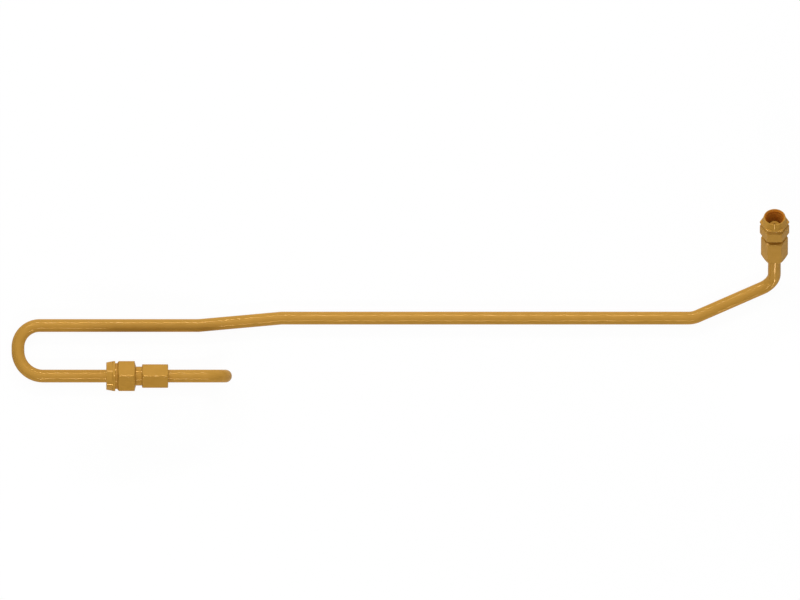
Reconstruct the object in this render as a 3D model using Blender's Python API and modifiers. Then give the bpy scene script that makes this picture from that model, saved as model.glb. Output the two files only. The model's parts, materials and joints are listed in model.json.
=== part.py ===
"""Injector pipe: a bent thick-walled steel tube with a union nut and a hex sleeve at each end.

Run with: blender --background --python part.py
Metres, +Z up. The pipe lies on its side as it rests on a bench.
"""
import math

import bmesh
import bpy
from mathutils import Matrix, Vector

mm = 0.001

# Tube
pipe_diameter = 9.525 * mm
bore_diameter = 2.0 * mm
bend_radius = 18.75 * mm
hoop_exit_radius = 16.1 * mm
riser_radius = 13.0 * mm
bend_step = 7.5
pipe_bevel_resolution = 10
bore_bevel_resolution = 4

# Route of the centre line: each leg runs from corner to corner, before the bends are rounded
lower_leg = 88.5 * mm
turn_spacing = 37.5 * mm
return_leg = 153.9 * mm
hoop_spacing = 37.5 * mm
middle_leg = 134.0 * mm
offset_leg = 61.85 * mm
offset_angle = 5.11
long_run = 305.5 * mm
rise_leg = 65.6 * mm
rise_angle = 23.6
end_leg = 73.05 * mm
end_tilt = 48.0

# Fits
sleeve_fit = 0.2 * mm
running_fit = 0.3 * mm
seat_gap = 0.3 * mm

# Formed heads on the tube
head_front_radius = 3.6 * mm
head_cone_angle = 30.0
head_land = 0.6 * mm
head_root_share = 0.8
small_head_step = 1.24 * mm
large_head_step = 2.24 * mm

# Thrust rings behind the heads
ring_web = 1.0 * mm
ring_front_face = 0.35 * mm
small_ring_lip = 0.4 * mm
large_ring_lip = 0.6 * mm

# Hex sleeves on the tube
sleeve_flats = 17.46 * mm
small_sleeve_length = 20.3 * mm
large_sleeve_length = 19.4 * mm
small_neck_wall = 0.6 * mm
large_neck_wall = 2.1 * mm
small_neck_show = 3.15 * mm
large_neck_show = 4.5 * mm
sleeve_chamfer_share = 0.947
sleeve_chamfer_angle = 30.0

# Union nuts
small_nut_wall = 2.965 * mm
large_nut_wall = 2.85 * mm
small_nose_length = 5.2 * mm
large_nose_length = 4.65 * mm
small_nose_step = 0.2 * mm
large_nose_step = 0.1 * mm
small_nose_taper = 13.5
large_nose_taper = 9.7
rim_edge = 0.25 * mm
small_mouth_chamfer = 0.9 * mm
large_mouth_chamfer = 1.0 * mm
mouth_half_angle = 30.0
small_flange_edge = 1.1 * mm
large_flange_edge = 1.6 * mm
flange_cone = 8.0
groove_depth = 1.5 * mm
groove_wall_lean = 0.15 * mm
small_groove_length = 2.84 * mm
large_groove_length = 2.55 * mm
groove_floor_share = 0.62
groove_step = 0.08 * mm
small_hex_length = 7.65 * mm
large_hex_length = 10.9 * mm
small_end_wall = 2.9 * mm
large_end_wall = 2.8 * mm
end_cone_angle = 15.0
corner_allowance = 0.15 * mm

# How far the cutters reach past what they cut
overshoot = 1.0 * mm

turn_steps = 48
enamel = (0.545, 0.305, 0.055, 1.0)
bare_steel = (0.42, 0.41, 0.39, 1.0)
surface_roughness = 0.32

pipe_radius = pipe_diameter / 2
bore_radius = bore_diameter / 2


def clear_scene():
    for old in list(bpy.data.objects):
        bpy.data.objects.remove(old, do_unlink=True)


def make_collection(name):
    group = bpy.data.collections.new(name)
    bpy.context.scene.collection.children.link(group)
    return group


def make_material(name, colour, roughness, metallic):
    material = bpy.data.materials.new(name)
    material.use_nodes = True
    shader = material.node_tree.nodes["Principled BSDF"]
    shader.inputs["Base Color"].default_value = colour
    shader.inputs["Roughness"].default_value = roughness
    shader.inputs["Metallic"].default_value = metallic
    material.diffuse_color = colour
    return material


def add_object(name, data, group, frame=None):
    piece = bpy.data.objects.new(name, data)
    group.objects.link(piece)
    piece.parent = frame
    return piece


def as_cutter(piece):
    piece.hide_render = True
    piece.display_type = "WIRE"
    return piece


def boolean(target, operation, tool):
    cut = target.modifiers.new(tool.name, "BOOLEAN")
    cut.operation = operation
    cut.object = tool
    cut.solver = "EXACT"


def smooth(mesh):
    mesh.shade_smooth()
    mesh.set_sharp_from_angle(angle=math.radians(25))


def turned(name, profile, closed, group, frame):
    """Spin a profile of (radius, depth) points about the frame's Z; depth runs down from the mouth."""
    mesh = bpy.data.meshes.new(name)
    points = [(radius, 0.0, -depth) for radius, depth in profile]
    edges = [(index, index + 1) for index in range(len(points) - 1)]
    if closed:
        edges.append((len(points) - 1, 0))
    mesh.from_pydata(points, edges, [])
    piece = add_object(name, mesh, group, frame)
    screw = piece.modifiers.new("turn", "SCREW")
    screw.axis = "Z"
    screw.angle = math.tau
    screw.steps = turn_steps
    screw.render_steps = turn_steps
    screw.use_merge_vertices = True
    screw.merge_threshold = 0.00001
    screw.use_smooth_shade = True
    return piece


def hex_bar(name, flats, start, length, group, frame):
    """A hexagon bar along the frame's Z with a corner on its X, from depth start downwards."""
    mesh = bpy.data.meshes.new(name)
    bar = bmesh.new()
    place = Matrix.Translation((0, 0, -start - length / 2)) @ Matrix.Rotation(math.radians(30), 4, "Z")
    corner = flats / 2 / math.cos(math.radians(30))
    bmesh.ops.create_cone(bar, cap_ends=True, segments=6, radius1=corner, radius2=corner,
                          depth=length, matrix=place)
    bar.to_mesh(mesh)
    bar.free()
    return as_cutter(add_object(name, mesh, group, frame))


def corner_radius(flats):
    return flats / 2 / math.cos(math.radians(30)) + corner_allowance


def route_corners():
    """Corner points of the centre line from the lower mouth to the upper mouth, and the bends' radii."""
    right = Vector((1, 0, 0))
    back = Vector((0, 1, 0))
    down = Vector((0, 0, -1))
    slope = math.radians(offset_angle)
    rise = math.radians(rise_angle)
    tilt = math.radians(end_tilt)
    legs = [
        (right, lower_leg, bend_radius),
        (down, turn_spacing, bend_radius),
        (-right, return_leg, bend_radius),
        (back, hoop_spacing, hoop_exit_radius),
        (right, middle_leg, bend_radius),
        (Vector((math.cos(slope), math.sin(slope), 0)), offset_leg, bend_radius),
        (right, long_run, bend_radius),
        (Vector((math.cos(rise), math.sin(rise), 0)), rise_leg, riser_radius),
        (Vector((0, math.cos(tilt), math.sin(tilt))), end_leg, None),
    ]
    corners = [Vector((0, 0, pipe_radius + turn_spacing))]
    for direction, length, _ in legs:
        corners.append(corners[-1] + direction * length)
    return corners, [radius for _, _, radius in legs[:-1]]


def rounded_route(corners, radii, start_trim, end_trim):
    """The route's points with every corner rounded to its bend's radius and its two ends shortened."""
    first = corners[0] + (corners[1] - corners[0]).normalized() * start_trim
    last = corners[-1] + (corners[-2] - corners[-1]).normalized() * end_trim
    points = [first]
    for before, corner, after, radius in zip(corners, corners[1:], corners[2:], radii):
        way_in = (corner - before).normalized()
        way_out = (after - corner).normalized()
        turn = way_in.angle(way_out)
        tangent = radius * math.tan(turn / 2)
        start = corner - way_in * tangent
        axis = way_in.cross(way_out).normalized()
        centre = start + axis.cross(way_in) * radius
        steps = max(2, math.ceil(math.degrees(turn) / bend_step))
        for step in range(steps + 1):
            spin = Matrix.Rotation(turn * step / steps, 3, axis)
            point = centre + spin @ (start - centre)
            if (point - points[-1]).length > mm / 10:
                points.append(point)
    points.append(last)
    return points


def swept(name, points, radius, resolution, group):
    """A round bar along the points, as a closed mesh."""
    curve = bpy.data.curves.new(name, "CURVE")
    curve.dimensions = "3D"
    curve.bevel_depth = radius
    curve.bevel_resolution = resolution
    curve.use_fill_caps = True
    spline = curve.splines.new("POLY")
    spline.points.add(len(points) - 1)
    for slot, point in zip(spline.points, points):
        slot.co = (*point, 1)
    guide = add_object(name + "_curve", curve, group)
    bpy.context.view_layer.update()
    graph = bpy.context.evaluated_depsgraph_get()
    mesh = bpy.data.meshes.new_from_object(guide.evaluated_get(graph), depsgraph=graph)
    mesh.name = name
    weld = bmesh.new()
    weld.from_mesh(mesh)
    bmesh.ops.remove_doubles(weld, verts=weld.verts, dist=0.00001)
    weld.to_mesh(mesh)
    weld.free()
    piece = add_object(name, mesh, group)
    piece.matrix_world = guide.matrix_world.copy()
    bpy.data.objects.remove(guide, do_unlink=True)
    return piece


def end_frame(name, mouth, outward, corner_side, group):
    """An empty at a mouth: Z points out of the mouth and X at a corner of the hexagons."""
    across = outward.cross(corner_side)
    frame = add_object(name, None, group)
    turned_axes = Matrix((corner_side, across, outward)).transposed().to_4x4()
    frame.matrix_world = Matrix.Translation(mouth) @ turned_axes
    return frame


class Union:
    """Every radius and depth of one end, worked outwards from the tube and back from the mouth."""

    def __init__(self, head_step, ring_lip, neck_wall, neck_show, sleeve_length, nut_wall, nose_length,
                 nose_step, nose_taper, mouth_chamfer, flange_edge, groove_length, hex_length, end_wall):
        self.sleeve_bore = pipe_radius + sleeve_fit
        self.neck_radius = self.sleeve_bore + neck_wall
        self.nut_rear_bore = self.neck_radius + running_fit
        self.ring_radius = self.nut_rear_bore + ring_lip
        self.thread_radius = self.ring_radius + running_fit
        self.nut_half_flats = self.thread_radius + nut_wall
        self.nut_corner = corner_radius(2 * self.nut_half_flats)
        self.head_radius = pipe_radius + head_step
        self.mouth_radius = self.thread_radius + mouth_chamfer
        self.mouth_depth = mouth_chamfer / math.tan(math.radians(mouth_half_angle))
        self.nose_back_radius = self.nut_half_flats - nose_step
        self.nose_radius = self.nose_back_radius - nose_length * math.tan(math.radians(nose_taper))
        self.nose_length = nose_length
        cone = math.tan(math.radians(flange_cone))
        self.flange_front = nose_length + (self.nut_corner - self.nose_back_radius) * cone
        self.flange_back = self.flange_front + flange_edge
        self.groove_radius = self.nut_half_flats - groove_depth
        self.groove_floor_front = self.flange_back + groove_wall_lean
        self.groove_floor_back = self.flange_back + groove_length * groove_floor_share
        self.groove_top = self.nut_half_flats - groove_step
        self.hex_face_front = self.flange_back + groove_length
        end_slope = math.tan(math.radians(end_cone_angle))
        self.hex_front = self.hex_face_front + (self.nut_corner - self.groove_top) * end_slope
        self.hex_back = self.hex_front + hex_length
        self.nut_back = self.hex_back + (self.nut_corner - self.nut_rear_bore) * end_slope
        self.shoulder = self.nut_back - end_wall
        self.ring_back = self.shoulder - seat_gap
        self.seat_back = self.ring_back - ring_web
        self.seat_radius = self.ring_radius - ring_front_face
        self.ring_front = self.seat_back - (self.seat_radius - self.sleeve_bore)
        cone_gap = seat_gap * math.sqrt(2)
        self.head_back = self.seat_back + self.sleeve_bore - self.head_radius - cone_gap
        self.head_land_front = self.head_back - head_land
        cone_length = (self.head_radius - head_front_radius) / math.tan(math.radians(head_cone_angle))
        self.head_front = self.head_land_front - cone_length
        self.sleeve_front = self.nut_back + neck_show
        self.sleeve_back = self.sleeve_front + sleeve_length


def union_nut(name, end, parts, cutters, frame):
    """Taper nose, thin hex flange, groove and hex body with shallow end cones, bored right through."""
    profile = [
        (end.mouth_radius, 0.0),
        (end.nose_radius - rim_edge, 0.0),
        (end.nose_radius, rim_edge),
        (end.nose_back_radius, end.nose_length),
        (end.nut_corner, end.flange_front),
        (end.nut_corner, end.flange_back),
        (end.groove_radius, end.groove_floor_front),
        (end.groove_radius, end.groove_floor_back),
        (end.groove_top, end.hex_face_front),
        (end.nut_corner, end.hex_front),
        (end.nut_corner, end.hex_back),
        (end.nut_rear_bore, end.nut_back),
        (end.nut_rear_bore, end.shoulder),
        (end.thread_radius, end.shoulder),
        (end.thread_radius, end.mouth_depth),
    ]
    nut = turned(name, profile, True, parts, frame)
    length = end.nut_back + 2 * overshoot
    bar = hex_bar(name + "_hex", 2 * end.nut_half_flats, -overshoot, length, cutters, frame)
    boolean(nut, "INTERSECT", bar)
    return nut


def thrust_ring(name, end, parts, frame):
    """Ring that seats on the cone behind the head and holds the nut's shoulder."""
    profile = [
        (end.seat_radius, end.ring_front),
        (end.ring_radius, end.ring_front),
        (end.ring_radius, end.ring_back),
        (end.sleeve_bore, end.ring_back),
        (end.sleeve_bore, end.seat_back),
    ]
    return turned(name, profile, True, parts, frame)


def hex_sleeve(name, end, parts, cutters, frame):
    """Long hexagon on the tube, chamfered at both ends, with a smooth neck that runs into the nut."""
    corner = corner_radius(sleeve_flats)
    end_circle = sleeve_flats / 2 * sleeve_chamfer_share
    chamfer = (corner - end_circle) * math.tan(math.radians(sleeve_chamfer_angle))
    profile = [
        (end.sleeve_bore, end.shoulder),
        (end.neck_radius, end.shoulder),
        (end.neck_radius, end.sleeve_front),
        (end_circle, end.sleeve_front),
        (corner, end.sleeve_front + chamfer),
        (corner, end.sleeve_back - chamfer),
        (end_circle, end.sleeve_back),
        (end.sleeve_bore, end.sleeve_back),
    ]
    sleeve = turned(name, profile, True, parts, frame)
    length = end.sleeve_back - end.shoulder + 2 * overshoot
    bar = hex_bar(name + "_hex", sleeve_flats, end.shoulder - overshoot, length, cutters, frame)
    boolean(sleeve, "INTERSECT", bar)
    return sleeve


def pipe_head(name, end, cutters, frame):
    """Cone nose, short land and 45 degree back of the head that is forged on the tube."""
    root_radius = pipe_radius * head_root_share
    profile = [
        (0.0, end.head_front),
        (head_front_radius, end.head_front),
        (end.head_radius, end.head_land_front),
        (end.head_radius, end.head_back),
        (root_radius, end.head_back + end.head_radius - root_radius),
        (0.0, end.head_back + end.head_radius - root_radius),
    ]
    return as_cutter(turned(name, profile, False, cutters, frame))


def fuel_pipe(corners, radii, lower, upper, lower_frame, upper_frame, parts, cutters):
    """Bent tube from head to head, with one bore through it."""
    outer = rounded_route(corners, radii, lower.head_back, upper.head_back)
    pipe = swept("fuel_pipe", outer, pipe_radius, pipe_bevel_resolution, parts)
    boolean(pipe, "UNION", pipe_head("lower_head", lower, cutters, lower_frame))
    boolean(pipe, "UNION", pipe_head("upper_head", upper, cutters, upper_frame))
    inner = rounded_route(corners, radii, lower.head_front - overshoot, upper.head_front - overshoot)
    bore = swept("pipe_bore", inner, bore_radius, bore_bevel_resolution, cutters)
    boolean(pipe, "DIFFERENCE", as_cutter(bore))
    return pipe


def centre_on_bench(parts, base):
    """Move everything so that the origin is under the middle of the pipe, on the bench."""
    bpy.context.view_layer.update()
    graph = bpy.context.evaluated_depsgraph_get()
    low = Vector((math.inf,) * 3)
    high = Vector((-math.inf,) * 3)
    for piece in parts.objects:
        if piece.type != "MESH":
            continue
        solid = piece.evaluated_get(graph)
        for vertex in solid.data.vertices:
            point = piece.matrix_world @ vertex.co
            low = Vector(map(min, low, point))
            high = Vector(map(max, high, point))
    base.location = -Vector(((low.x + high.x) / 2, (low.y + high.y) / 2, low.z))


def build():
    clear_scene()
    parts = make_collection("injector_pipe")
    cutters = make_collection("cutters")
    small = Union(
        head_step=small_head_step,
        ring_lip=small_ring_lip,
        neck_wall=small_neck_wall,
        neck_show=small_neck_show,
        sleeve_length=small_sleeve_length,
        nut_wall=small_nut_wall,
        nose_length=small_nose_length,
        nose_step=small_nose_step,
        nose_taper=small_nose_taper,
        mouth_chamfer=small_mouth_chamfer,
        flange_edge=small_flange_edge,
        groove_length=small_groove_length,
        hex_length=small_hex_length,
        end_wall=small_end_wall,
    )
    large = Union(
        head_step=large_head_step,
        ring_lip=large_ring_lip,
        neck_wall=large_neck_wall,
        neck_show=large_neck_show,
        sleeve_length=large_sleeve_length,
        nut_wall=large_nut_wall,
        nose_length=large_nose_length,
        nose_step=large_nose_step,
        nose_taper=large_nose_taper,
        mouth_chamfer=large_mouth_chamfer,
        flange_edge=large_flange_edge,
        groove_length=large_groove_length,
        hex_length=large_hex_length,
        end_wall=large_end_wall,
    )
    corners, radii = route_corners()
    lower_out = (corners[0] - corners[1]).normalized()
    upper_out = (corners[-1] - corners[-2]).normalized()
    lower_frame = end_frame("lower_end", corners[0], lower_out, Vector((0, 0, 1)), parts)
    upper_frame = end_frame("upper_end", corners[-1], upper_out, Vector((1, 0, 0)), parts)

    pipe = fuel_pipe(corners, radii, large, small, lower_frame, upper_frame, parts, cutters)
    pieces = [
        (pipe, "pipe_enamel", enamel),
        (union_nut("large_union_nut", large, parts, cutters, lower_frame), "large_nut_enamel", enamel),
        (hex_sleeve("lower_hex_sleeve", large, parts, cutters, lower_frame), "lower_sleeve_enamel", enamel),
        (thrust_ring("lower_thrust_ring", large, parts, lower_frame), "lower_ring_steel", bare_steel),
        (union_nut("small_union_nut", small, parts, cutters, upper_frame), "small_nut_enamel", enamel),
        (hex_sleeve("upper_hex_sleeve", small, parts, cutters, upper_frame), "upper_sleeve_enamel", enamel),
        (thrust_ring("upper_thrust_ring", small, parts, upper_frame), "upper_ring_steel", bare_steel),
    ]
    for piece, finish, colour in pieces:
        metallic = 1.0 if colour is bare_steel else 0.0
        piece.data.materials.append(make_material(finish, colour, surface_roughness, metallic))
    smooth(pipe.data)

    base = add_object("pipe_base", None, parts)
    for piece in list(parts.objects) + list(cutters.objects):
        if piece is not base and piece.parent is None:
            piece.parent = base
    centre_on_bench(parts, base)


build()
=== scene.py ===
import json
import math

import bmesh
import bpy
from mathutils import Matrix, Vector


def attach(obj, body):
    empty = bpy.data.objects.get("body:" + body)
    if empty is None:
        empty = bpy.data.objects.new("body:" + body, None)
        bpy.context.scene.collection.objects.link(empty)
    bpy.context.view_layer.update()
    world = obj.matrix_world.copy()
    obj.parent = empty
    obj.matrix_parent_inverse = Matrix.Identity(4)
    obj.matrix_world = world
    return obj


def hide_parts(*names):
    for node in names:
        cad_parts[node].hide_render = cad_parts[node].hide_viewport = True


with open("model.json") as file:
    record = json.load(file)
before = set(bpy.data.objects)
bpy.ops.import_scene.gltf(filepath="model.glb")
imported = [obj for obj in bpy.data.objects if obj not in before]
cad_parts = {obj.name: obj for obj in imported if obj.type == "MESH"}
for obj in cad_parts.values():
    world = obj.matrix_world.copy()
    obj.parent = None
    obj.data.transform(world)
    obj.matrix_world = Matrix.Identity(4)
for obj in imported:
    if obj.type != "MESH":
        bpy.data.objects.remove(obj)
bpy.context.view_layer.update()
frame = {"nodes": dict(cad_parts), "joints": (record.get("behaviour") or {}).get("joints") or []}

mm = 0.001
tubeRadius = 4.7625 * mm     # the sleeves close round it too

# The larger nut's end: radii from the nut's own axis, and depths back from its mouth
largeEnd = {
    "body": "large_nut",
    "joint": "large_nut_spin",
    "cornerSide": Vector((0, 0, 1)),    # where one corner of the hexagons points
    "flats": 22.226 * mm,
    "sleeveBore": 4.9625 * mm,
    "neck": 7.0625 * mm,
    "rearBore": 7.3625 * mm,
    "threadCrest": 8.2625 * mm,
    "threadRoot": 8.85 * mm,
    "threadPitch": 1.5 * mm,
    "mouth": 9.2625 * mm,
    "mouthDepth": 1.732 * mm,
    "noseFront": 10.218 * mm,
    "noseBack": 11.0125 * mm,
    "noseLength": 4.65 * mm,
    "flangeBack": 6.527 * mm,
    "groove": 9.6125 * mm,
    "grooveFloorBack": 8.108 * mm,
    "hexFaceFront": 9.077 * mm,
    "hexBack": 20.499 * mm,
    "shoulder": 19.205 * mm,
    "headTip": 8.947 * mm,
    "headLand": 14.84 * mm,
    "headBack": 15.44 * mm,
    "head": 7.0025 * mm,
    "sleeveFront": 26.505 * mm,
    "sleeveBack": 45.905 * mm,
}

# The smaller nut's end, measured the same way
smallEnd = {
    "body": "small_nut",
    "joint": "small_nut_spin",
    "cornerSide": Vector((1, 0, 0)),
    "flats": 19.055 * mm,
    "sleeveBore": 4.9625 * mm,
    "neck": 5.5625 * mm,
    "rearBore": 5.8625 * mm,
    "threadCrest": 6.5625 * mm,
    "threadRoot": 7.15 * mm,
    "threadPitch": 1.4 * mm,
    "mouth": 7.4625 * mm,
    "mouthDepth": 1.559 * mm,
    "noseFront": 8.079 * mm,
    "noseBack": 9.3275 * mm,
    "noseLength": 5.2 * mm,
    "flangeBack": 6.556 * mm,
    "groove": 8.0275 * mm,
    "grooveFloorBack": 8.317 * mm,
    "hexFaceFront": 9.396 * mm,
    "hexBack": 17.503 * mm,
    "shoulder": 16.02 * mm,
    "headTip": 8.494 * mm,
    "headLand": 12.656 * mm,
    "headBack": 13.256 * mm,
    "head": 6.0025 * mm,
    "sleeveFront": 22.07 * mm,
    "sleeveBack": 42.37 * mm,
}

# How the pieces are meshed
meshing = {
    "around": 240,           # steps in a full turn
    "roundSteps": 3,         # steps across each rounded edge
    "roundShare": 0.45,      # the most of a side that one rounding takes up
    "cornerPower": 110,      # higher makes the hexagons' corners sharper
    "weld": 0.001 * mm,
    "sharpAngle": 40.0,
}


def placeObject(name, data):
    thing = bpy.data.objects.new(name, data)
    bpy.context.scene.collection.objects.link(thing)
    return thing


def finishMesh(name, bm, place):
    bmesh.ops.remove_doubles(bm, verts=bm.verts, dist=meshing["weld"])
    bmesh.ops.recalc_face_normals(bm, faces=bm.faces)
    mesh = bpy.data.meshes.new(name)
    bm.to_mesh(mesh)
    bm.free()
    mesh.transform(place)
    mesh.shade_smooth()
    mesh.set_sharp_from_angle(angle=math.radians(meshing["sharpAngle"]))
    thing = placeObject(name, mesh)
    weights = thing.modifiers.new("faceWeights", "WEIGHTED_NORMAL")
    weights.keep_sharp = True
    return thing


# Joins each ring of points to the next; every ring has the same count
def skinRings(bm, rings, endless):
    corners = [[bm.verts.new(point) for point in ring] for ring in rings]
    pairs = list(zip(corners, corners[1:]))
    if endless:
        pairs.append((corners[-1], corners[0]))
    for near, far in pairs:
        for index in range(len(near)):
            following = (index + 1) % len(near)
            bm.faces.new((near[index], near[following], far[following], far[index]))


# Rounds every corner of a closed outline of (radius, depth) points
def roundOutline(outline, rounding, steps):
    share = meshing["roundShare"]
    rounded = []
    for index, corner in enumerate(outline):
        here = Vector(corner)
        back = Vector(outline[index - 1]) - here
        ahead = Vector(outline[(index + 1) % len(outline)]) - here
        if min(back.length, ahead.length) < meshing["weld"]:
            rounded += [here.copy() for step in range(steps + 1)]
            continue
        half = back.angle(ahead) / 2
        reach = min(rounding / math.tan(half), back.length * share, ahead.length * share)
        start = here + back.normalized() * reach
        finish = here + ahead.normalized() * reach
        for step in range(steps + 1):
            t = step / steps
            rounded.append(start * (1 - t) ** 2 + here * 2 * t * (1 - t) + finish * t ** 2)
    return rounded


# How far out a hexagon reaches at an angle, with a corner at angle 0 and the corners slightly rounded
def hexReach(flats, angle):
    power = meshing["cornerPower"]
    total = 0
    for face in range(6):
        facing = math.cos(angle - math.radians(30 + 60 * face))
        total += max(0, facing) ** power
    return flats / 2 / total ** (1 / power)


# A point in a nut's own axes, which run out through its mouth
def pointAt(radius, angle, depth):
    return (radius * math.cos(angle), radius * math.sin(angle), -depth)


# Turns an outline about the axis; outlineAt gives the outline for the hexagon's reach at that angle
def turnWithHex(name, outlineAt, flats, rounding, place):
    bm = bmesh.new()
    rings = []
    for step in range(meshing["around"]):
        angle = math.tau * step / meshing["around"]
        outline = outlineAt(hexReach(flats, angle))
        rounded = roundOutline(outline, rounding, meshing["roundSteps"])
        rings.append([pointAt(radius, angle, depth) for radius, depth in rounded])
    skinRings(bm, rings, True)
    return finishMesh(name, bm, place)


# Where a nut's own axes stand: the middle of its mouth, with Z outwards and X to a corner
def jointPlace(end):
    joint = next(joint for joint in frame["joints"] if joint["name"] == end["joint"])
    outward = Vector(joint["axis"]).normalized()
    side = end["cornerSide"]
    turned = Matrix((side, outward.cross(side), outward)).transposed().to_4x4()
    return Matrix.Translation(Vector(joint["pos_m"])) @ turned


# Finishes; a higher noise scale is finer

enamel = {
    "base": (0.455, 0.236, 0.039, 1),
    "pale": (0.470, 0.245, 0.042, 1),
    "deep": (0.440, 0.227, 0.036, 1),
    "mottleEnds": (0.3, 0.7),    # the noise at which the colour is fully deep and fully pale
    "mottleScale": 150,
    "mottleDetail": 3,
    "metallic": 0.06,            # warms the reflections
    "roughness": 0.07,
    "roughnessSpread": 0.015,
    "specular": 0.0,
    "coat": 0.15,
    "coatRoughness": 0.05,
    "peelScale": 1100,
    "peelDetail": 2,
    "peelStrength": 0.02,
    "peelDepth": 0.1 * mm,
}

# Painted bounce light: inside the nuts' mouths the light has bounced from wall to wall, which deepens the
# colour, so a deeper, more saturated enamel colour is painted there
mouthBounceLightLook = dict(
    enamel,
    base=(0.53, 0.185, 0.02, 1),
    pale=(0.55, 0.195, 0.022, 1),
    deep=(0.51, 0.175, 0.018, 1),
    metallic=0.0,
    coat=0.0,
    roughness=0.5,
)

steel = {
    "colour": (0.42, 0.40, 0.37, 1),
    "metallic": 1.0,
    "roughness": 0.35,
    "roughnessSpread": 0.1,
    "lineScale": 2500,
    "lineDetail": 2,
}


def newMaterial(name):
    material = bpy.data.materials.new(name)
    material.use_nodes = True
    tree = material.node_tree
    return material, tree, tree.nodes["Principled BSDF"]


def addNoise(tree, scale, detail):
    where = tree.nodes.new("ShaderNodeTexCoord")
    noise = tree.nodes.new("ShaderNodeTexNoise")
    noise.inputs["Scale"].default_value = scale
    noise.inputs["Detail"].default_value = detail
    tree.links.new(where.outputs["Object"], noise.inputs["Vector"])
    return noise.outputs["Fac"]


# The noise moves the roughness a little to both sides of its middle
def spreadRoughness(tree, shader, noise, look):
    gloss = tree.nodes.new("ShaderNodeMapRange")
    gloss.inputs["To Min"].default_value = look["roughness"] - look["roughnessSpread"]
    gloss.inputs["To Max"].default_value = look["roughness"] + look["roughnessSpread"]
    tree.links.new(noise, gloss.inputs["Value"])
    tree.links.new(gloss.outputs["Result"], shader.inputs["Roughness"])


# Enamel: mottled colour, a faint orange peel and a thin clear gloss on top
def makeEnamel(name, look):
    material, tree, shader = newMaterial(name)
    shader.inputs["Metallic"].default_value = look["metallic"]
    shader.inputs["Specular IOR Level"].default_value = look["specular"]
    shader.inputs["Coat Weight"].default_value = look["coat"]
    shader.inputs["Coat Roughness"].default_value = look["coatRoughness"]

    mottle = addNoise(tree, look["mottleScale"], look["mottleDetail"])
    shades = tree.nodes.new("ShaderNodeValToRGB")
    darkest, lightest = shades.color_ramp.elements
    darkest.position, lightest.position = look["mottleEnds"]
    darkest.color = look["deep"]
    lightest.color = look["pale"]
    middle = shades.color_ramp.elements.new(sum(look["mottleEnds"]) / 2)
    middle.color = look["base"]
    tree.links.new(mottle, shades.inputs["Fac"])
    tree.links.new(shades.outputs["Color"], shader.inputs["Base Color"])
    spreadRoughness(tree, shader, mottle, look)

    bump = tree.nodes.new("ShaderNodeBump")
    bump.inputs["Strength"].default_value = look["peelStrength"]
    bump.inputs["Distance"].default_value = look["peelDepth"]
    tree.links.new(addNoise(tree, look["peelScale"], look["peelDetail"]), bump.inputs["Height"])
    tree.links.new(bump.outputs["Normal"], shader.inputs["Normal"])
    tree.links.new(bump.outputs["Normal"], shader.inputs["Coat Normal"])
    return material


# Bare turned steel, its gloss broken up finely as tool marks do
def makeSteel(name, look):
    material, tree, shader = newMaterial(name)
    shader.inputs["Base Color"].default_value = look["colour"]
    shader.inputs["Metallic"].default_value = look["metallic"]
    spreadRoughness(tree, shader, addNoise(tree, look["lineScale"], look["lineDetail"]), look)
    return material


pipeEnamel = makeEnamel("pipeEnamel", enamel)
fittingEnamel = makeEnamel("fittingEnamel", enamel)
# The mouth enamel's deeper, more saturated colour is painted bounce light
mouthBounceLightEnamel = makeEnamel("mouthBounceLightEnamel", mouthBounceLightLook)
ringSteel = makeSteel("ringSteel", steel)
print("finishes made")


# Union nuts

nutForm = {
    "rimEdge": 0.25 * mm,
    "cornerAllowance": 0.15 * mm,
    "flangeCone": 8.0,       # degrees
    "grooveLean": 0.15 * mm,
    "grooveStep": 0.08 * mm,
    "endCone": 15.0,         # degrees
    "rounding": 0.16 * mm,
    "threadGap": 0.25 * mm,
}

threadForm = {
    "stepsPerTurn": 72,
    "runOutSteps": 36,       # the ridge grows to its full height over these, at both ends
    "leastHeight": 0.1,      # the height that it starts from, as a share of the full height
    "rootHalf": 0.45,        # half widths of the ridge, as shares of the pitch
    "crestHalf": 0.07,
    "sunk": 0.05 * mm,       # into the nut's wall
    "relief": 2.6 * mm,      # left plain in front of the shoulder
}


def nutOutlineAt(end):
    corner = end["flats"] / 2 / math.cos(math.radians(30)) + nutForm["cornerAllowance"]
    coneSlope = math.tan(math.radians(nutForm["flangeCone"]))
    endSlope = math.tan(math.radians(nutForm["endCone"]))
    wallSlope = nutForm["grooveLean"] / (corner - end["groove"])
    grooveTop = end["flats"] / 2 - nutForm["grooveStep"]
    nutBack = end["hexBack"] + (corner - end["rearBore"]) * endSlope
    threadFront = end["mouthDepth"] + nutForm["threadGap"]

    def outline(reach):
        return [
            (end["mouth"], 0),
            (end["noseFront"] - nutForm["rimEdge"], 0),
            (end["noseFront"], nutForm["rimEdge"]),
            (end["noseBack"], end["noseLength"]),
            (reach, end["noseLength"] + (reach - end["noseBack"]) * coneSlope),
            (reach, end["flangeBack"] + (corner - reach) * wallSlope),
            (end["groove"], end["flangeBack"] + nutForm["grooveLean"]),
            (end["groove"], end["grooveFloorBack"]),
            (grooveTop, end["hexFaceFront"]),
            (reach, end["hexFaceFront"] + (reach - grooveTop) * endSlope),
            (reach, end["hexBack"] + (corner - reach) * endSlope),
            (end["rearBore"], nutBack),
            (end["rearBore"], end["shoulder"]),
            (end["threadRoot"], end["shoulder"]),
            (end["threadRoot"], threadFront),
            (end["threadCrest"], threadFront),
            (end["threadCrest"], end["mouthDepth"]),
        ]

    return outline


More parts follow.
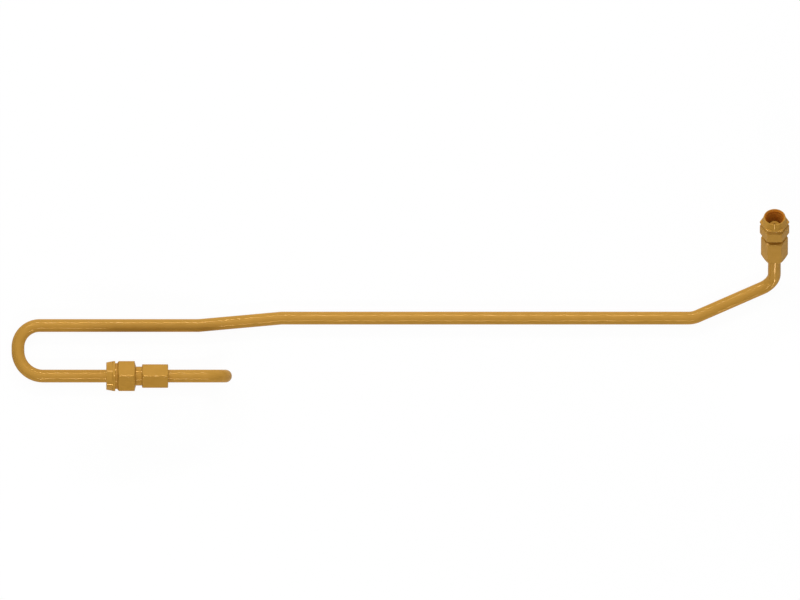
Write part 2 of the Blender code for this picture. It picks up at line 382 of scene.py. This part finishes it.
def makeThread(name, end, place):
    pitch = end["threadPitch"]
    perTurn = threadForm["stepsPerTurn"]
    runOutSteps = threadForm["runOutSteps"]
    least = threadForm["leastHeight"]
    start = end["mouthDepth"] + nutForm["threadGap"] + pitch / 2
    length = end["shoulder"] - threadForm["relief"] - start
    count = int(length / pitch * perTurn)
    root = end["threadRoot"] + threadForm["sunk"]
    bm = bmesh.new()
    rings = []
    for step in range(count + 1):
        angle = math.tau * step / perTurn
        depth = start + pitch * step / perTurn
        runOut = min(1, step / runOutSteps, (count - step) / runOutSteps)
        crest = root - (root - end["threadCrest"]) * (least + (1 - least) * runOut)
        ridge = [
            (root, -threadForm["rootHalf"]),
            (crest, -threadForm["crestHalf"]),
            (crest, threadForm["crestHalf"]),
            (root, threadForm["rootHalf"]),
        ]
        rings.append([pointAt(radius, angle, depth + along * pitch) for radius, along in ridge])
    skinRings(bm, rings, False)
    bm.verts.ensure_lookup_table()
    sides = len(rings[0])
    bm.faces.new([bm.verts[index] for index in range(sides)])
    bm.faces.new([bm.verts[-1 - index] for index in range(sides)])
    return finishMesh(name, bm, place)


# Gives the mouth enamel, whose deeper colour is painted bounce light, to the faces between the rim and the
# shoulder
def paintMouthBounceLight(nut, end, place):
    nut.data.materials.append(mouthBounceLightEnamel)
    back = place.inverted()
    for face in nut.data.polygons:
        spot = back @ face.center
        if spot.xy.length < end["mouth"] and nutForm["rimEdge"] < -spot.z < end["shoulder"]:
            face.material_index = 1


for endName, end, node in (("large", largeEnd, "large_union_nut"), ("small", smallEnd, "small_union_nut")):
    place = jointPlace(end)
    nut = turnWithHex(endName + "NutBody", nutOutlineAt(end), end["flats"], nutForm["rounding"], place)
    thread = makeThread(endName + "NutThread", end, place)
    nut.data.materials.append(fittingEnamel)
    paintMouthBounceLight(nut, end, place)
    # The thread inside the mouth gets the same painted bounce light
    thread.data.materials.append(mouthBounceLightEnamel)
    for piece in (nut, thread):
        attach(piece, end["body"])
    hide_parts(node)
print("union nuts made")


# Hex sleeves on the tube

sleeveForm = {
    "flats": 17.46 * mm,
    "endCircle": 0.947,      # of the half width across flats
    "chamferAngle": 30.0,
    "rounding": 0.18 * mm,
    "bridge": 0.3 * mm,      # enamel that closes the gap round the tube
    "bridgeSlant": 0.6,      # how far it runs out along the tube, as a share of its width
    "bridgeSunk": 0.02 * mm,
}


def sleeveOutlineAt(end):
    circle = sleeveForm["flats"] / 2 * sleeveForm["endCircle"]
    slope = math.tan(math.radians(sleeveForm["chamferAngle"]))
    bridge = sleeveForm["bridge"]
    snug = tubeRadius - sleeveForm["bridgeSunk"]

    def outline(reach):
        chamfer = (reach - circle) * slope
        return [
            (end["sleeveBore"], end["shoulder"]),
            (end["neck"], end["shoulder"]),
            (end["neck"], end["sleeveFront"]),
            (circle, end["sleeveFront"]),
            (reach, end["sleeveFront"] + chamfer),
            (reach, end["sleeveBack"] - chamfer),
            (circle, end["sleeveBack"]),
            (tubeRadius + bridge, end["sleeveBack"]),
            (snug, end["sleeveBack"] + bridge * sleeveForm["bridgeSlant"]),
            (snug, end["sleeveBack"] - bridge),
            (end["sleeveBore"], end["sleeveBack"] - bridge),
        ]

    return outline


for endName, end, node in (("lower", largeEnd, "lower_hex_sleeve"), ("upper", smallEnd, "upper_hex_sleeve")):
    sleeve = turnWithHex(endName + "SleeveBody", sleeveOutlineAt(end), sleeveForm["flats"],
                         sleeveForm["rounding"], jointPlace(end))
    sleeve.data.materials.append(fittingEnamel)
    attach(sleeve, "pipe")
    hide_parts(node)
print("hex sleeves made")

for node in ("lower_thrust_ring", "upper_thrust_ring"):
    for slot in frame["nodes"][node].material_slots:
        slot.material = ringSteel
print("thrust rings finished")


# The bent tube with its formed heads and through bore: the legs and bends of the CAD node that it replaces

pipe = {
    "bore": 1.0 * mm,        # radius
    "bend": 18.75 * mm,
    "hoopExitBend": 16.1 * mm,
    "riserBend": 13.0 * mm,
    "lowerLeg": 88.5 * mm,
    "turn": 37.5 * mm,
    "returnLeg": 153.9 * mm,
    "hoop": 37.5 * mm,
    "middleLeg": 134.0 * mm,
    "offsetLeg": 61.85 * mm,
    "offsetAngle": 5.11,
    "longRun": 305.5 * mm,
    "riseLeg": 65.6 * mm,
    "riseAngle": 23.6,
    "endLeg": 73.05 * mm,
    "endTilt": 48.0,
    "tipRadius": 3.6 * mm,
    "headRounding": 0.15 * mm,
    "headRoundSteps": 4,
    "headNeck": 2.0 * mm,    # plain length modelled with each head
    "bendStep": 2.0,         # degrees between the rings of a bend
    "fewestSteps": 3,
    "closest": 0.1 * mm,     # nearer rings are left out
    "sides": 64,
}


# The points where the tube's middle line turns, and the radius of the bend at each
def routeCorners():
    right = Vector((1, 0, 0))
    slope = math.radians(pipe["offsetAngle"])
    rise = math.radians(pipe["riseAngle"])
    tilt = math.radians(pipe["endTilt"])
    bend = pipe["bend"]
    legs = [
        (right, pipe["lowerLeg"], bend),
        (Vector((0, 0, -1)), pipe["turn"], bend),
        (-right, pipe["returnLeg"], bend),
        (Vector((0, 1, 0)), pipe["hoop"], pipe["hoopExitBend"]),
        (right, pipe["middleLeg"], bend),
        (Vector((math.cos(slope), math.sin(slope), 0)), pipe["offsetLeg"], bend),
        (right, pipe["longRun"], bend),
        (Vector((math.cos(rise), math.sin(rise), 0)), pipe["riseLeg"], pipe["riserBend"]),
        (Vector((0, math.cos(tilt), math.sin(tilt))), pipe["endLeg"], None),
    ]
    corners = [jointPlace(largeEnd).translation]
    for direction, length, radius in legs:
        corners.append(corners[-1] + direction * length)
    return corners, [radius for direction, length, radius in legs[:-1]]


# Stations round the bends, each with its point and its heading
def bendRoute(corners, radii):
    stations = []
    for before, corner, after, radius in zip(corners, corners[1:], corners[2:], radii):
        wayIn = (corner - before).normalized()
        wayOut = (after - corner).normalized()
        turn = wayIn.angle(wayOut)
        start = corner - wayIn * radius * math.tan(turn / 2)
        axis = wayIn.cross(wayOut).normalized()
        centre = start + axis.cross(wayIn) * radius
        steps = max(pipe["fewestSteps"], math.ceil(math.degrees(turn) / pipe["bendStep"]))
        for step in range(steps + 1):
            spin = Matrix.Rotation(turn * step / steps, 3, axis)
            point = centre + spin @ (start - centre)
            if not stations or (point - stations[-1][0]).length > pipe["closest"]:
                stations.append((point, spin @ wayIn))
    return stations


# The head's radii and depths from its tip back to the tube; the outline's last corner only closes it
def headSteps(end):
    neckDepth = end["headBack"] + end["head"] - tubeRadius
    tubeDepth = neckDepth + pipe["headNeck"]
    outline = [
        (pipe["bore"], end["headTip"]),
        (pipe["tipRadius"], end["headTip"]),
        (end["head"], end["headLand"]),
        (end["head"], end["headBack"]),
        (tubeRadius, neckDepth),
        (tubeRadius, tubeDepth),
        (pipe["bore"], tubeDepth),
    ]
    steps = pipe["headRoundSteps"]
    return roundOutline(outline, pipe["headRounding"], steps)[:-steps - 1]


def makePipe():
    corners, radii = routeCorners()
    lowerOut = (corners[0] - corners[1]).normalized()
    upperOut = (corners[-1] - corners[-2]).normalized()
    outside = []
    for radius, depth in headSteps(largeEnd):
        outside.append((corners[0] - lowerOut * depth, -lowerOut, radius))
    for point, heading in bendRoute(corners, radii):
        outside.append((point, heading, tubeRadius))
    for radius, depth in reversed(headSteps(smallEnd)):
        outside.append((corners[-1] - upperOut * depth, upperOut, radius))

    surface = []
    bored = []
    across = Vector((0, 1, 0))
    for point, heading, radius in outside:
        across = (across - heading * across.dot(heading)).normalized()
        other = heading.cross(across)
        angles = [math.tau * side / pipe["sides"] for side in range(pipe["sides"])]
        spokes = [across * math.cos(angle) + other * math.sin(angle) for angle in angles]
        surface.append([point + spoke * radius for spoke in spokes])
        bored.append([point + spoke * pipe["bore"] for spoke in spokes])
    bm = bmesh.new()
    skinRings(bm, surface + bored[::-1], True)
    return finishMesh("bentTube", bm, Matrix.Identity(4))


tube = makePipe()
tube.data.materials.append(pipeEnamel)
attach(tube, "pipe")
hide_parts("fuel_pipe")
print("tube made")


# Floor, surround, lamps and camera

white = (1, 1, 1, 1)


# A maths node; each input is a number or another node's output
def addMath(tree, operation, *inputs):
    node = tree.nodes.new("ShaderNodeMath")
    node.operation = operation
    for socket, value in zip(node.inputs, inputs):
        if isinstance(value, bpy.types.NodeSocket):
            tree.links.new(value, socket)
        else:
            socket.default_value = value
    return node.outputs["Value"]


# The camera and mirrored rays see the floor as nearly white, and its paint keeps the shadow
floorLook = {"colour": (0.90, 0.90, 0.90, 1), "whiten": 0.95, "half": 6.0}


def makeFloor():
    bm = bmesh.new()
    bmesh.ops.create_grid(bm, x_segments=1, y_segments=1, size=floorLook["half"])
    mesh = bpy.data.meshes.new("studioFloor")
    bm.to_mesh(mesh)
    bm.free()
    floor = placeObject("studioFloor", mesh)
    material = bpy.data.materials.new("studioFloorPaint")
    material.use_nodes = True
    tree = material.node_tree
    tree.nodes.clear()
    output = tree.nodes.new("ShaderNodeOutputMaterial")
    matt = tree.nodes.new("ShaderNodeBsdfDiffuse")
    matt.inputs["Color"].default_value = floorLook["colour"]
    plain = tree.nodes.new("ShaderNodeEmission")
    plain.inputs["Color"].default_value = white
    plain.inputs["Strength"].default_value = 1.0
    rays = tree.nodes.new("ShaderNodeLightPath").outputs
    mirrored = addMath(tree, "MAXIMUM", rays["Is Glossy Ray"], rays["Is Transmission Ray"])
    seen = addMath(tree, "MAXIMUM", rays["Is Camera Ray"], mirrored)
    share = addMath(tree, "MULTIPLY", seen, floorLook["whiten"])
    mix = tree.nodes.new("ShaderNodeMixShader")
    tree.links.new(share, mix.inputs["Fac"])
    tree.links.new(matt.outputs["BSDF"], mix.inputs[1])
    tree.links.new(plain.outputs["Emission"], mix.inputs[2])
    tree.links.new(mix.outputs["Shader"], output.inputs["Surface"])
    mesh.materials.append(material)


# The surround is brightest over the far side (+Y) and falls off towards both ends of the pipe
surround = {
    "towards": (-0.06, 0.75, 0.65),
    "level": 0.40,           # square on to that direction
    "rise": 0.64,            # added towards it and taken away from it
    "least": 0.15,
    "endsDrop": 0.65,        # share lost right at the two ends
}


def makeSurround():
    sky = bpy.data.worlds.new("studioSky")
    bpy.context.scene.world = sky
    sky.use_nodes = True
    tree = sky.node_tree
    glow = tree.nodes["Background"]
    glow.inputs["Color"].default_value = white
    where = tree.nodes.new("ShaderNodeTexCoord").outputs["Generated"]
    parts = tree.nodes.new("ShaderNodeSeparateXYZ")
    tree.links.new(where, parts.inputs["Vector"])
    facing = tree.nodes.new("ShaderNodeVectorMath")
    facing.operation = "DOT_PRODUCT"
    facing.inputs[1].default_value = surround["towards"]
    tree.links.new(where, facing.inputs[0])
    shade = addMath(tree, "MULTIPLY_ADD", facing.outputs["Value"], surround["rise"], surround["level"])
    lowest = addMath(tree, "MAXIMUM", shade, surround["least"])
    square = addMath(tree, "MULTIPLY", parts.outputs["X"], parts.outputs["X"])
    ends = addMath(tree, "MULTIPLY_ADD", square, -surround["endsDrop"], 1.0)
    level = addMath(tree, "MULTIPLY", lowest, ends)
    rays = tree.nodes.new("ShaderNodeLightPath").outputs
    pick = tree.nodes.new("ShaderNodeMix")
    pick.inputs["B"].default_value = 1.0     # what the camera sees is white
    tree.links.new(rays["Is Camera Ray"], pick.inputs["Factor"])
    tree.links.new(level, pick.inputs["A"])
    tree.links.new(pick.outputs["Result"], glow.inputs["Strength"])


# Where each lamp stands and what it is aimed at, its size across and up, and its brightness
lamps = {
    "farStrip": {
        "at": (0.0, 1.10, 0.85),
        "aim": (0, 0, 0),
        "size": (0.9, 0.08),
        "glow": 31.0,
    },
    "topStrip": {
        "at": (0.0, 0.50, 1.31),
        "aim": (0, 0, 0),
        "size": (0.9, 0.08),
        "glow": 4.5,
    },
    "nearStrip": {
        "at": (0.0, -1.08, 0.89),
        "aim": (0, 0, 0),
        "size": (0.9, 0.09),
        "glow": 23.0,
    },
    "nearWindow": {
        "at": (0.29, -1.30, 0.5),
        "aim": (0.28, 0, 0.04),
        "size": (0.08, 0.25),
        "glow": 16.0,
    },
    "nearPane": {
        "at": (-0.305, -0.38, 0.14),
        "aim": (-0.21, -0.06, 0.04),
        "size": (0.034, 0.036),
        "glow": 32.0,
    },
    "farPane": {
        "at": (-0.64, 0.82, 1.04),
        "aim": (-0.21, -0.06, 0.04),
        "size": (0.3, 0.24),
        "glow": 9.0,
    },
    "riserGlint": {
        "at": (0.294, -0.1, 0.011),
        "aim": (0.277, 0.02, 0.03),
        "size": (0.036, 0.010),
        "glow": 14.0,
    },
}


def makeLamps():
    for name, lamp in lamps.items():
        light = bpy.data.lights.new(name, "AREA")
        light.shape = "RECTANGLE"
        light.size, light.size_y = lamp["size"]
        light.energy = lamp["glow"] * math.pi * light.size * light.size_y
        holder = placeObject(name, light)
        holder.location = lamp["at"]
        back = Vector(lamp["at"]) - Vector(lamp["aim"])
        holder.rotation_euler = back.to_track_quat("Z", "Y").to_euler()
        holder.visible_camera = False


# Straight down without perspective, apart from a slight lean of what stands up towards the right
camera = {
    "height": 2.0,
    "lean": 0.004,
    "pixel": 0.742 * mm,
    "across": 800,           # pixels
    "focus": (-0.0003, 0, 0.02),
}


def makeCamera():
    lens = bpy.data.cameras.new("overhead")
    lens.type = "ORTHO"
    lens.ortho_scale = camera["across"] * camera["pixel"]
    holder = placeObject("overhead", lens)
    back = Vector((-camera["lean"], 0, 1)).normalized()
    across = Vector((0, 1, 0)).cross(back).normalized()
    holder.location = Vector(camera["focus"]) + back * camera["height"]
    holder.rotation_euler = Matrix((across, back.cross(across), back)).transposed().to_euler()
    bpy.context.scene.camera = holder


makeFloor()
makeSurround()
makeLamps()
makeCamera()
bpy.context.scene.view_settings.view_transform = "Standard"
print("studio made")

bpy.context.view_layer.update()
